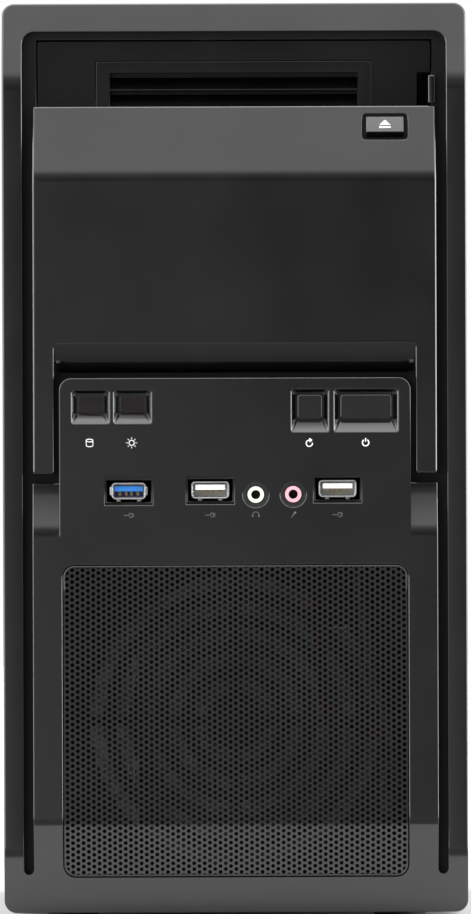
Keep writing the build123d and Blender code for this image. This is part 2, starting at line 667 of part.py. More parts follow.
def fan_screw_points():
    x, z = FAN_REAR_AT
    return [(x + i * 41.25, z + j * 41.25) for i in (-1, 1) for j in (-1, 1)]


def drive_screw_points():
    """(y, z) of the hard drive's side screws."""
    return [(y, DRIVE_Z[0] + 6.35) for y in (-124, -64)]


def board_screw_points():
    """(y, z) of the motherboard's fixing holes."""
    return [(-12, 20.5), (80, 20.5), (174, 20.5), (-12, 252), (80, 252), (148, 253)]


def screw(at, axis, way):
    """A pan-head screw: head face at `at`, head on the side away from `way`, shank along it."""
    step = {"x": (way, 0, 0), "y": (0, way, 0)}[axis]
    head_at = [a - s * SCREW_HEAD / 2 for a, s in zip(at, step)]
    shank_at = [a + s * 2.0 for a, s in zip(at, step)]
    body = rod(head_at, SCREW_HEAD_R, SCREW_HEAD, axis) + rod(shank_at, SCREW_R, 4.0, axis)
    slot_at = [a - s * SCREW_HEAD for a, s in zip(at, step)]
    for size in ((0.8, 3.6), (3.6, 0.8)):
        wide = {"x": (1.6, size[0], size[1]), "y": (size[0], 1.6, size[1])}[axis]
        body -= Pos(*slot_at) * Box(*wide)
    return body


def case_screws():
    screws = [screw((x, REAR, z), "y", -1) for x, z in psu_screw_points()]
    screws += [screw((-42.2, REAR - 7, z), "x", 1) for z in SLOT_HEIGHTS]
    screws += [screw((side * 52.2, *at), "x", -side) for side in (-1, 1) for at in drive_screw_points()]
    screws += [screw((BOARD_FACE, *at), "x", 1) for at in board_screw_points()]
    return screws


def fan_screws():
    return [screw((x, REAR, z), "y", -1) for x, z in fan_screw_points()]


def board_standoffs():
    posts = []
    for at in board_screw_points():
        hexagon = Plane.YZ.offset(BOARD_FACE + BOARD) * RegularPolygon(3.0, 6)
        post = extrude(Pos(0, *at) * hexagon, TRAY_X - BOARD_FACE - BOARD, dir=(1, 0, 0))
        posts.append(post - rod((BOARD_FACE + BOARD + 1.5, *at), SCREW_HOLE_R, 5, "x"))
    return posts


def thumbscrews(side):
    screws = []
    for z in THUMB_Z:
        head = rod((side * THUMB_X, REAR + 4.8, z), THUMB_R, 7.4, "y")
        for turn in range(18):
            place = Pos(side * THUMB_X, REAR + 4.8, z) * Rot(0, turn * 20, 0) * Pos(THUMB_R + 0.2, 0, 0)
            head -= place * Box(0.7, 9, 0.7)
        shank = rod((side * THUMB_X, REAR - 1, z), 1.9, 6, "y")
        screws.append(head + shank)
    return screws


# ---------------------------------------------------------------- power supply

def psu_case():
    body = block(PSU_X, PSU_Y, PSU_Z)
    body -= block(grow(PSU_X, -PSU_WALL), grow(PSU_Y, -PSU_WALL), grow(PSU_Z, -PSU_WALL))
    rear = (PSU_Y[1] - 2, PSU_Y[1] + 1)
    x, z = FAN_PSU_AT
    body -= rod((x, PSU_Y[1], z), 38, 4, "y")
    x, z = INLET_AT
    body -= block((x - 13.8, x + 13.8), rear, (z - 9.9, z + 9.9))
    x, z = ROCKER_AT
    body -= block((x - 9.9, x + 9.9), rear, (z - 6.9, z + 6.9))
    for x, z in psu_screw_points():
        body -= rod((x, PSU_Y[1], z), SCREW_HOLE_R, 4, "y")
    for at in range(-60, 61, 8):
        body -= block((at - 1.5, at + 1.5), (PSU_Y[0] - 1, PSU_Y[0] + 2), (300, 340))
    for at in (20, -40):
        body -= rod((at, PSU_Y[0], 285), 5.2, 4, "y")
    return body


def psu_fan_guard():
    """Chromed wire guard: rings on two bars, with four screw eyes."""
    x, z = FAN_PSU_AT
    y = REAR + 1.2
    rings = [Pos(x, y, z) * Rot(90, 0, 0) * Torus(r, 0.8) for r in (9, 17, 25, 33, 39)]
    body = rings[0]
    for ring in rings[1:]:
        body += ring
    for turn in (45, 135):
        body += Pos(x, y - 0.9, z) * Rot(0, turn, 0) * Box(90, 1.4, 1.6)
    for side in (-1, 1):
        for level in (-1, 1):
            body += rod((x + side * 31.8, y - 1.3, z + level * 31.8), 3.0, 1.8, "y")
    return body


def psu_mains_inlet():
    """Three-pin appliance inlet: a flanged housing open to the rear, with its pins."""
    x, z = INLET_AT
    flange = soft_block((x - 15.5, x + 15.5), (PSU_Y[1], PSU_Y[1] + 2.2), (z - 12, z + 12), 3)
    housing = block((x - 13.5, x + 13.5), (PSU_Y[1] - 20, PSU_Y[1]), (z - 9.6, z + 9.6))
    cavity = soft_block((x - 12.2, x + 12.2), (PSU_Y[1] - 17, PSU_Y[1] + 3), (z - 8, z + 8), 2)
    body = flange + housing - cavity
    for pin_x, pin_z in ((-7, -1.5), (7, -1.5), (0, 2)):
        body += block((x + pin_x - 1, x + pin_x + 1), (PSU_Y[1] - 18, PSU_Y[1] - 3),
                      (z + pin_z - 2, z + pin_z + 2))
    return body


def psu_rocker():
    """The rocker: a shallow V-shaped key inside a round envelope about its pivot."""
    x, z = ROCKER_AT
    y = PSU_Y[1] - ROCKER_SINK
    points = [(y - 4, z - 6), (y + 1.6, z - 6), (y + 1.9, z), (y + 3.6, z + 6), (y - 4, z + 6)]
    key = prism(points, (x - 8.4, x + 8.4)) & rod((x, y, z), ROCKER_R, 20, "x")
    return key - block((x - 7.4, x + 7.4), (y - 6, y - 1), (z - 3.6, z + 3.6))


def psu_rocker_frame():
    x, z = ROCKER_AT
    y = PSU_Y[1]
    rim = soft_block((x - 11.5, x + 11.5), (y, y + 1.4), (z - 8.6, z + 8.6), 1.5)
    rim += block((x - 9.7, x + 9.7), (y - 12, y), (z - 6.7, z + 6.7))
    return rim - block((x - 8.8, x + 8.8), (y - 10, y + 2), (z - 6.1, z + 6.1))


def psu_circuit_board():
    board = block((-70, 68), (50, 150), (270, 271.6))
    parts = [block((-50, -44), (60, 140), (271.6, 320)), block((0, 6), (60, 140), (271.6, 320))]
    parts += [block((-35, -8), (80, 112), (271.6, 305)), block((20, 60), (110, 140), (271.6, 300))]
    parts += [rod((x, y, 286.6), 11, 30, "z") for x, y in ((28, 70), (54, 70))]
    for part in parts:
        board += part
    return board


# ---------------------------------------------------------------- fans

def fan_frame(size, depth):
    """A square fan frame around Z, with its motor seat on four arms at z = 0."""
    body = Pos(0, 0, depth / 2) * extrude(Pos(0, 0, -depth / 2) * RectangleRounded(size, size, 4), depth)
    bore = size / 2 - 2
    body -= Pos(0, 0, depth / 2) * Cylinder(bore, depth + 2)
    pocket = Pos(0, 0, depth / 2) * (Cylinder(size * 0.72, depth - 8) - Cylinder(bore + 1.6, depth - 8))
    body -= pocket
    for turn in (45, 135):
        arm = Pos(0, 0, 1.25) * Rot(0, 0, turn) * Box(size - 2, 3.2, 2.5)
        body += arm & (Pos(0, 0, 1.25) * Cylinder(bore + 0.8, 2.5))
    body += Pos(0, 0, 1.5) * Cylinder(size * 0.17, 3)
    pitch = size / 2 - 4.75
    for x in (-pitch, pitch):
        for y in (-pitch, pitch):
            body -= Pos(x, y, depth / 2) * Cylinder(2.1, depth + 2)
    return body


def fan_rotor(size, depth):
    """Hub and seven pitched blades around Z, clear of the frame and of its arms."""
    low, high = 3.6, depth - 1.0
    hub_r, tip_r = size * 0.19, size / 2 - 3.3
    body = Pos(0, 0, (low + high) / 2) * Cylinder(hub_r, high - low)
    body = fillet([e for e in body.edges() if e.center().Z > high - 0.1], 1.0)
    mask = Pos(0, 0, (low + high) / 2) * Cylinder(tip_r, high - low - 0.8)
    for turn in range(7):
        blade = Rot(0, 0, turn * 360 / 7) * Pos(tip_r / 2 + 2, 0, (low + high) / 2) * Rot(36, 0, 0)
        body += (blade * Box(tip_r, depth * 1.05, 1.3)) & mask
    return body


def rear_fan_place():
    x, z = FAN_REAR_AT
    return Pos(x, REAR - SHEET, z) * Rot(90, 0, 0)


def psu_fan_place():
    x, z = FAN_PSU_AT
    return Pos(x, PSU_Y[1] - PSU_WALL, z) * Rot(90, 0, 0)


def cpu_fan_place():
    y, z = CPU_AT
    return Pos(31.0, y, z) * Rot(0, -90, 0)


# ---------------------------------------------------------------- motherboard

def motherboard():
    body = block((BOARD_FACE, BOARD_FACE + BOARD), BOARD_Y, BOARD_Z)
    for at in board_screw_points():
        body -= rod((BOARD_FACE, *at), SCREW_HOLE_R, 6, "x")
    return body


def rear_socket_spans():
    """(x, z) spans of the sockets that come through the shield, from the top down."""
    face = BOARD_FACE
    sizes = [(15, 242, 257), (15, 225, 240), (13, 186, 218), (16, 164, 178), (16, 147, 161),
             (28, 126, 143), (35, 110, 123)]
    return [((face - depth, face), (low, high)) for depth, low, high in sizes]


def rear_sockets():
    solids = []
    for x, z in rear_socket_spans():
        shell = block(x, (REAR - 22, REAR + 0.6), z)
        inner = block(grow(x, -2.2), (REAR - 12, REAR + 1), grow(z, -1.8))
        solids.append(shell - inner)
    return solids


def cpu_heatsink():
    y, z = CPU_AT
    body = block((62, 68), (y - 45, y + 45), (z - 45, z + 45))
    body += block((68, BOARD_FACE), (y - 19, y + 19), (z - 19, z + 19))
    for i in range(15):
        at = z - 44 + i * 6.15
        body += block((31, 62), (y - 45, y + 45), (at, at + 1.6))
    return body


def memory_slots():
    return [block((BOARD_FACE - 8, BOARD_FACE), (y - 3.2, y + 3.2), (118, 256)) for y in (24, 36)]


def memory_module():
    body = block((BOARD_FACE - 33, BOARD_FACE - 8), (23.4, 24.7), (121, 253))
    for i in range(8):
        chip_z = (126 + i * 15.6, 126 + i * 15.6 + 11)
        body += block((BOARD_FACE - 28, BOARD_FACE - 17), (22.4, 23.4), chip_z)
    return body


def expansion_slots():
    lengths = [(80, 160), (80, 160), (135, 160), (72, 160)]
    return [block((BOARD_FACE - 11, BOARD_FACE), y, (z - 3.7, z + 3.7))
            for y, z in zip(lengths, SLOT_HEIGHTS)]


def board_components():
    face = BOARD_FACE
    solids = [block((face - 13, face), (0, 10), (194, 246))]
    solids.append(block((face - 13, face), (122, 132), (247, 258)))
    solids += [block((face - 9, face), (-14, -4), (z, z + 16)) for z in (42, 66, 90)]
    solids += [block((face - 9, face), (-12, -4), (28, 38)), block((face - 9, face), (20, 60), (20, 23))]
    chip = block((face - 4, face), (28, 66), (80, 106))
    for i in range(8):
        chip += block((face - 16, face - 4), (28 + i * 5, 29.6 + i * 5), (80, 106))
    solids.append(chip)
    solids.append(rod((face - 2, 10, 100), 10, 4, "x"))
    for y, z in ((156, 232), (156, 222), (156, 212), (156, 202), (60, 252), (71, 252),
                 (112, 252), (10, 150), (10, 164), (100, 100), (112, 100)):
        solids.append(rod((face - 4.5, y, z), 4, 9, "x"))
    return solids


def hard_drive():
    body = block(DRIVE_X, DRIVE_Y, DRIVE_Z)
    body -= block(grow(DRIVE_X, -6), (DRIVE_Y[0] + 8, DRIVE_Y[1] - 12), (DRIVE_Z[1] - 1.2, DRIVE_Z[1] + 1))
    body += rod((-8, -70, DRIVE_Z[1] - 0.7), 26, 1.0, "z")
    for side in (-1, 1):
        for at in drive_screw_points():
            body -= rod((side * 50.8, *at), SCREW_HOLE_R, 7.0, "x")
    return body


# ---------------------------------------------------------------- cables

HARNESS = [(20, 44, 285), (20, 24, 285), (17, 8, 268), (19, 4, 240), (20, 5, 211), (47, 5, 211)]
DRIVE_POWER = [(-40, 44, 285), (-40, 26, 284), (-36, 16, 264), (-25, 18, 234), (-22, 2, 230)]
DRIVE_DATA = [(30, 0, 229), (30, 14, 226), (30, 16, 190), (32, 10, 140), (34, -4, 100), (36, -9, 74),
              (50, -9, 74)]
FRONT_LEAD = [(48, -171, 159), (48, -171, 130), (52, -171, 100), (60, -170, 72), (64, -158, 50),
              (62, -128, 36), (58, -90, 24), (56, -50, 20), (54, -20, 26), (58, -8, 33)]


def power_leads():
    """The supply's board harness and drive lead, each with its plug."""
    board_plug = block((47, BOARD_FACE - 13), (0.4, 9.6), (195, 245))
    drive_plug = block((-33, -11), (-5, 2), (226, 234))
    return [cable(HARNESS, [9, 9, 12, 9], 4.8), board_plug, cable(DRIVE_POWER, [8, 8, 8], 2.6), drive_plug]


def drive_data_cable():
    plugs = [block((22, 38), (-5, 0), (226, 233)), block((50, BOARD_FACE - 9), (-13, -5), (67, 81))]
    return [cable(DRIVE_DATA, [6, 14, 20, 14, 7], 2.2), *plugs]


def front_panel_lead():
    plug = block((58, BOARD_FACE - 9), (-11, -5), (29, 37))
    return [cable(FRONT_LEAD, [20, 20, 14, 12, 16, 20, 20, 14], 2.2), plug]


# ---------------------------------------------------------------- side panels

def side_panel(side):
    """A flat steel skin with hemmed edges and a rear flange for its thumbscrews."""
    y, z = (BEZEL_BACK + 0.6, REAR + 1.1), CHASSIS_Z
    skin = block((PANEL_OUT - PANEL_SHEET, PANEL_OUT), y, z)
    hem_x = (CHASSIS_X + 0.3, PANEL_OUT - PANEL_SHEET)
    hem_y = (BEZEL_BACK + 0.6, REAR + 0.3)
    for span in ((z[0], z[0] + 9), (z[1] - 9, z[1])):
        skin += block(hem_x, hem_y, span)
    skin += block(hem_x, (hem_y[0], hem_y[0] + 8), z)
    flange_y = (REAR + 0.3, REAR + 1.1)
    skin += block((CHASSIS_X - 9.4, PANEL_OUT), flange_y, (z[0] + 3, z[1] - 3))
    for height in THUMB_Z:
        skin -= rod((THUMB_X, middle(flange_y), height), 2.1, 4, "y")
    if side < 0:
        loop_z = LOOP_AT[1]
        skin -= block((81.4, 85.2), grow(flange_y, 1), (loop_z - 9, loop_z + 9))
        for cutter in side_vents():
            skin -= cutter
        skin = mirror(skin, about=Plane.YZ)
    return skin


def side_vents():
    """Slots of the left panel's vent, over the processor cooler and over the cards."""
    cutters = []
    for row in range(9):
        z = CPU_AT[1] - 40 + row * 10
        half = (45 ** 2 - (z - CPU_AT[1]) ** 2) ** 0.5
        cutters.append(vent_slot(CPU_AT[0] - half, CPU_AT[0] + half, z))
    for row in range(7):
        cutters.append(vent_slot(50, 150, 30 + row * 10))
    return cutters


def vent_slot(low, high, z):
    return block((CHASSIS_X + 0.5, PANEL_OUT + 1), (low, high), (z - 2, z + 2))


# ---------------------------------------------------------------- the parts

def parts():
    made = {
        "chassis_base": chassis_base(),
        "chassis_front_plate": chassis_front_plate(),
        "chassis_rear_plate": chassis_rear_plate(),
        "chassis_top": chassis_top(),
        "motherboard_tray": motherboard_tray(),
        "drive_cage_525": drive_cage_525(),
        "drive_cage_35": drive_cage_35(),
        "rubber_feet": rubber_feet(),
        "front_bezel": front_bezel(),
        "drive_shroud": drive_shroud(),
        "bay_cover_525": bay_cover_525(),
        "bay_insert_35": bay_insert_35(),
        "mesh_grille": mesh_grille(),
        "control_board": control_board(),
        "tact_switches": tact_switches(),
        "lamp_diodes": lamp_diodes(),
        "front_io_board": front_io_board(),
        "usb3_socket_shell": usb3_socket_shell(),
        "usb3_socket_tongue": usb3_socket_tongue(),
        "usb2_socket_shells": usb2_socket_shells(),
        "usb2_socket_tongues": usb2_socket_tongues(),
        "psu_case": psu_case(),
        "psu_fan_guard": psu_fan_guard(),
        "psu_fan_frame": psu_fan_place() * fan_frame(80, 25),
        "psu_mains_inlet": psu_mains_inlet(),
        "psu_rocker_frame": psu_rocker_frame(),
        "psu_circuit_board": psu_circuit_board(),
        "rear_fan_frame": rear_fan_place() * fan_frame(92, 25),
        "fan_screws": fan_screws(),
        "motherboard": motherboard(),
        "board_standoffs": board_standoffs(),
        "io_shield": io_shield(),
        "rear_sockets": rear_sockets(),
        "cpu_heatsink": cpu_heatsink(),
        "cpu_fan_frame": cpu_fan_place() * fan_frame(80, 20),
        "memory_slots": memory_slots(),
        "memory_module": memory_module(),
        "expansion_slots": expansion_slots(),
        "board_components": board_components(),
        "slot_covers": slot_covers(),
        "case_screws": case_screws(),
        "hard_drive": hard_drive(),
        "power_leads": power_leads(),
        "drive_data_cable": drive_data_cable(),
        "front_panel_lead": front_panel_lead(),
        "left_side_panel": side_panel(-1),
        "right_side_panel": side_panel(1),
        "left_thumbscrews": thumbscrews(-1),
        "right_thumbscrews": thumbscrews(1),
        "eject_key": eject_key(),
        "psu_fan_rotor": psu_fan_place() * fan_rotor(80, 25),
        "rear_fan_rotor": rear_fan_place() * fan_rotor(92, 25),
        "cpu_fan_rotor": cpu_fan_place() * fan_rotor(80, 20),
        "psu_rocker": psu_rocker(),
    }
    for name in LAMP_LENSES:
        made[name] = lamp_lens(name)
    for name in BUTTONS:
        made[name] = push_button(name)
    for name in JACKS:
        made[name] = audio_socket(name)
    return made


os.makedirs("parts", exist_ok=True)
for node, shape in parts().items():
    whole = Compound(children=list(shape)) if isinstance(shape, list) else shape
    export_step(whole, f"parts/{node}.step")
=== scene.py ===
import json
import math

import bmesh
import bpy
from mathutils import Matrix, Vector

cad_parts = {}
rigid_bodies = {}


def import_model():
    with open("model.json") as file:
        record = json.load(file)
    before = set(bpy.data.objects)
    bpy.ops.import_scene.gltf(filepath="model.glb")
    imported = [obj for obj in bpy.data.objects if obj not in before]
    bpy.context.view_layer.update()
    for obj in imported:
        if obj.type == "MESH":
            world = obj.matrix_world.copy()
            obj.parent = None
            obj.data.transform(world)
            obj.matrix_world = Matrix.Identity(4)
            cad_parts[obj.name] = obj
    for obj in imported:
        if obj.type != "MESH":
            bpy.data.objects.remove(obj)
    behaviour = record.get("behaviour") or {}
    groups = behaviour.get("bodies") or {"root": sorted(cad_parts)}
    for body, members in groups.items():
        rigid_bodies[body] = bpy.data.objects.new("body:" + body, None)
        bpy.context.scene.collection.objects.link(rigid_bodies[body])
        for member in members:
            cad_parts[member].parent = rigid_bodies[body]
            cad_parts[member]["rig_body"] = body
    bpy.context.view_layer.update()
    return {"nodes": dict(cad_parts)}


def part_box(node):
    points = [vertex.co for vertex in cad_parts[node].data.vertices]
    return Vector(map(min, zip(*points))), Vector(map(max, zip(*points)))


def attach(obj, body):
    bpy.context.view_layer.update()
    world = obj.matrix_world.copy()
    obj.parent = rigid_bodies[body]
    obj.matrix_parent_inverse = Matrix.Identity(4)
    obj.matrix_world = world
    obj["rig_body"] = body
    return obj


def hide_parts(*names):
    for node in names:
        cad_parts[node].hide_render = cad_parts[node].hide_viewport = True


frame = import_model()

MM = 0.001
FRONT_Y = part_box("front_bezel")[0].y
BEZEL_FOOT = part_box("front_bezel")[0].z
# The lips round the bezel's pockets, and the room kept in front of a face for print, in millimetres
LIP, HOLD_BACK = 0.5, 0.03
# Angles in degrees: up to where faces count as one, from where a corner is rounded, and is shaded sharp
FLAT_ANGLE, CORNER_ANGLE, SHARP_ANGLE = 0.4, 25, 50
WELD = 0.002 * MM

# ---------------------------------------------------------------- node trees


def add(tree, kind, inputs=None, **settings):
    """A shader node with its settings, and with each input linked or set."""
    node = tree.nodes.new(kind)
    for key, value in settings.items():
        setattr(node, key, value)
    for key, value in (inputs or {}).items():
        if isinstance(value, bpy.types.NodeSocket):
            tree.links.new(value, node.inputs[key])
        else:
            node.inputs[key].default_value = value
    return node


def noise(tree, coords, size, detail=2.0):
    """Smooth noise whose features are about size metres across."""
    inputs = {"Vector": coords, "Scale": 1 / size, "Detail": detail}
    return add(tree, "ShaderNodeTexNoise", inputs).outputs["Fac"]


def remap(tree, value, low, high, start=0.3, end=0.7):
    """A value carried from one range to another."""
    inputs = {"Value": value, "From Min": start, "From Max": end, "To Min": low, "To Max": high}
    return add(tree, "ShaderNodeMapRange", inputs).outputs["Result"]


def blend_colours(tree, value, first, second):
    ramp = add(tree, "ShaderNodeValToRGB", {"Fac": value})
    ramp.color_ramp.elements[0].color = (*first, 1)
    ramp.color_ramp.elements[1].color = (*second, 1)
    return ramp.outputs["Color"]


def combine(tree, operation, first, second):
    """Two values put together by a maths node."""
    return add(tree, "ShaderNodeMath", {0: first, 1: second}, operation=operation).outputs[0]


def start_material(name, constants):
    """A new material, its tree, its shader with the constant sockets set, and object coordinates."""
    material = bpy.data.materials.new(name)
    material.use_nodes = True
    tree = material.node_tree
    shader = tree.nodes["Principled BSDF"]
    for key, value in constants.items():
        shader.inputs[key].default_value = value
    coords = add(tree, "ShaderNodeTexCoord").outputs["Object"]
    return material, tree, shader, coords


def surface(name, dark, light, rough, grain, depth, patch=0.03, stretch=(1, 1, 1), **constants):
    """A finish that drifts in colour and roughness over patches, with a grain sized in metres."""
    material, tree, shader, coords = start_material(name, constants)
    drift = noise(tree, coords, patch, 3.0)
    colour = blend_colours(tree, remap(tree, drift, 0, 1), dark, light)
    tree.links.new(colour, shader.inputs["Base Color"])
    tree.links.new(remap(tree, drift, *rough), shader.inputs["Roughness"])
    scaled = add(tree, "ShaderNodeMapping", {"Vector": coords, "Scale": stretch}).outputs["Vector"]
    bump = add(tree, "ShaderNodeBump", {"Height": noise(tree, scaled, grain), "Distance": depth})
    tree.links.new(bump.outputs["Normal"], shader.inputs["Normal"])
    return material


def galvanised(name, dark, light, spangle):
    """Zinc-coated sheet: crystals of a size in metres that differ in tone and polish."""
    material, tree, shader, coords = start_material(name, {"Metallic": 1.0})
    crystals = add(tree, "ShaderNodeTexVoronoi", {"Vector": coords, "Scale": 1 / spangle})
    tone = add(tree, "ShaderNodeSeparateColor", {"Color": crystals.outputs["Color"]}).outputs["Red"]
    tree.links.new(blend_colours(tree, tone, dark, light), shader.inputs["Base Color"])
    tree.links.new(remap(tree, tone, 0.3, 0.46, 0, 1), shader.inputs["Roughness"])
    ripple = noise(tree, coords, 0.6 * MM)
    bump = add(tree, "ShaderNodeBump", {"Height": ripple, "Distance": 0.004 * MM})
    tree.links.new(bump.outputs["Normal"], shader.inputs["Normal"])
    return material


def circuit(name, mask, trace):
    """Solder mask over copper: straight-edged fields slightly raised and lighter than the mask."""
    material, tree, shader, coords = start_material(name, {"Roughness": 0.32})
    cells = {"Vector": coords, "Scale": 1 / (5 * MM)}
    copper = add(tree, "ShaderNodeTexVoronoi", cells, distance="CHEBYCHEV").outputs["Distance"]
    lines = add(tree, "ShaderNodeTexWave", {"Vector": coords, "Scale": 260, "Distortion": 3.0},
                wave_profile="SAW", bands_direction="DIAGONAL").outputs["Fac"]
    field = combine(tree, "MULTIPLY", copper, lines)
    step = remap(tree, field, 0, 1, 0.12, 0.18)
    tree.links.new(blend_colours(tree, step, mask, trace), shader.inputs["Base Color"])
    bump = add(tree, "ShaderNodeBump", {"Height": step, "Distance": 0.03 * MM})
    tree.links.new(bump.outputs["Normal"], shader.inputs["Normal"])
    return material


def grey(level, tint=0.0):
    return (level, level, level * (1 + tint))


def plastic(name, dark, light, rough=(0.28, 0.36), grain=0.5, depth=0.004, **constants):
    return surface(name, dark, light, rough, grain * MM, depth * MM, **constants)


def metal(name, dark, light, rough, grain=0.25, depth=0.002, **constants):
    constants["Metallic"] = 1.0
    return surface(name, dark, light, rough, grain * MM, depth * MM, **constants)


LEVEL = "Specular IOR Level"


def make_finishes():
    """One material for each of the record's slots, and a few that stand in for them on some pieces."""
    gloss = {LEVEL: 0.9}
    black = (grey(0.0030, 0.05), grey(0.0040, 0.05))
    return {
        "bezel_plastic": plastic("bezel_plastic", *black, (0.15, 0.19), 0.45, 0.003, **gloss),
        "cover_plastic": plastic("cover_plastic", *black, (0.19, 0.23), 0.45, 0.003, **{LEVEL: 0.44}),
        "recess_plastic": plastic("recess_plastic", *black, (0.30, 0.36), 0.45, 0.003, **{LEVEL: 0.36}),
        "key_plastic": plastic("key_plastic", *black, (0.20, 0.24), 0.4, 0.003, **gloss),
        "grille_steel": plastic("grille_steel", grey(0.0025), grey(0.004), (0.24, 0.30), 0.3, 0.004,
                                **gloss),
        "lens_plastic": plastic("lens_plastic", (0.006, 0.005, 0.006), (0.010, 0.007, 0.008),
                                (0.12, 0.18), 2, 0.004),
        # Painted shade: a near-black, dull finish for the front plate behind the grille, so what shows
        # through its holes stays dark
        "painted_shade_black": plastic("painted_shade_black", grey(0.003), grey(0.005), (0.5, 0.6), 0.9, 0.02,
                                **{LEVEL: 0.25}),
        "black_paint": plastic("black_paint", grey(0.012), grey(0.016), (0.40, 0.47), 0.9, 0.022,
                               **gloss),
        "zinc_steel": galvanised("zinc_steel", grey(0.30, 0.03), grey(0.42, 0.03), 5 * MM),
        "bright_steel": metal("bright_steel", grey(0.66), grey(0.76), (0.20, 0.28)),
        "shield_steel": metal("shield_steel", grey(0.36), grey(0.44), (0.28, 0.36)),
        "screw_zinc": metal("screw_zinc", (0.50, 0.50, 0.47), (0.62, 0.62, 0.60), (0.26, 0.36)),
        "brass": metal("brass", (0.62, 0.44, 0.18), (0.75, 0.56, 0.26), (0.24, 0.32)),
        "chrome_wire": metal("chrome_wire", grey(0.46), grey(0.54), (0.16, 0.22)),
        "foot_rubber": plastic("foot_rubber", grey(0.014), grey(0.022), (0.75, 0.85), 0.6, 0.03),
        "fan_plastic": plastic("fan_plastic", grey(0.012), grey(0.017), (0.42, 0.5), 0.7, 0.01),
        "pcb_green": circuit("pcb_green", (0.012, 0.07, 0.028), (0.025, 0.13, 0.05)),
        "socket_black": plastic("socket_black", grey(0.012), grey(0.018), (0.35, 0.42), 0.5, 0.006),
        "usb_blue": plastic("usb_blue", (0.012, 0.13, 0.42), (0.02, 0.17, 0.52), (0.28, 0.36)),
        "usb_white": plastic("usb_white", (0.78, 0.78, 0.75), (0.86, 0.86, 0.83), (0.3, 0.38)),
        "jack_green": plastic("jack_green", (0.60, 0.76, 0.54), (0.68, 0.82, 0.62), (0.3, 0.38)),
        "jack_pink": plastic("jack_pink", (0.75, 0.33, 0.38), (0.82, 0.40, 0.45), (0.3, 0.38)),
        "switch_black": plastic("switch_black", grey(0.012), grey(0.018), (0.25, 0.32)),
        "heatsink_aluminium": metal("heatsink_aluminium", grey(0.62), grey(0.72), (0.30, 0.38),
                                    stretch=(1, 0.05, 1)),
        "drive_metal": metal("drive_metal", grey(0.48), grey(0.58), (0.36, 0.46), 0.5, 0.01),
        "cable_black": plastic("cable_black", grey(0.014), grey(0.02), (0.4, 0.5)),
        "cable_red": plastic("cable_red", (0.36, 0.015, 0.015), (0.46, 0.025, 0.025), (0.35, 0.45)),
        "diode_clear": plastic("diode_clear", grey(0.55), grey(0.65), (0.08, 0.14)),
        "white_print": plastic("white_print", grey(0.80), grey(0.88), (0.45, 0.55)),
        "grey_print": plastic("grey_print", grey(0.050), grey(0.062), (0.45, 0.55)),
    }


FINISHES = make_finishes()

# ---------------------------------------------------------------- pieces


def new_piece(name, bm, slot, body="root", replaces=(), finish=None, weighted=True):
    """A mesh piece in the frame's own metres that rides on a body."""
    mesh = bpy.data.meshes.new(name)
    bm.to_mesh(mesh)
    bm.free()
    mesh.materials.append(FINISHES[finish or slot])
    mesh.shade_smooth()
    mesh.set_sharp_from_angle(angle=math.radians(SHARP_ANGLE))
    piece = bpy.data.objects.new(name, mesh)
    bpy.context.scene.collection.objects.link(piece)
    if weighted:
        normals = piece.modifiers.new("normals", "WEIGHTED_NORMAL")
        normals.mode = "FACE_AREA"
        normals.keep_sharp = True
    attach(piece, body)
    if replaces:
        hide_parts(*replaces)
    return piece


def bare_copy(node):
    """A CAD node's mesh, welded, with the borders of its faces marked as seams and flat areas joined."""
    source = frame["nodes"][node].data
    bm = bmesh.new()
    points = [bm.verts.new(v.co) for v in source.vertices]
    for polygon in source.polygons:
        bm.faces.new([points[i] for i in polygon.vertices])
    for edge in bm.edges:
        edge.seam = edge.is_boundary
    bmesh.ops.remove_doubles(bm, verts=bm.verts, dist=WELD)
    bmesh.ops.dissolve_limit(bm, angle_limit=math.radians(FLAT_ANGLE), verts=bm.verts, edges=bm.edges)
    return bm


def soften(bm, width, chosen=None, segments=2):
    """Rounds each outward corner between two faces by a width in metres, or only the chosen corners."""
    least = math.radians(CORNER_ANGLE)
    corners = [e for e in bm.edges if e.seam and e.is_convex and e.calc_face_angle() > least]
    if chosen:
        corners = [e for e in corners if chosen(e)]
    bmesh.ops.bevel(bm, geom=corners, offset=width, offset_type="OFFSET", segments=segments, profile=0.5,
                    affect="EDGES", clamp_overlap=False)
    return bm


def finished(node, slot, width=0.25, finish=None, bm=None):
    """A CAD node with its corners rounded and its finish on, held back a little for the print."""
    bm = bm or bare_copy(node)
    if width:
        soften(bm, width * MM)
    low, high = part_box(node)
    low.y = max(low.y, FRONT_Y + HOLD_BACK * MM)
    for vert in bm.verts:
        vert.co = [min(max(value, floor), top) for value, floor, top in zip(vert.co, low, high)]
    body = frame["nodes"][node]["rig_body"]
    return new_piece(f"{node}_finished", bm, slot, body, [node], finish)


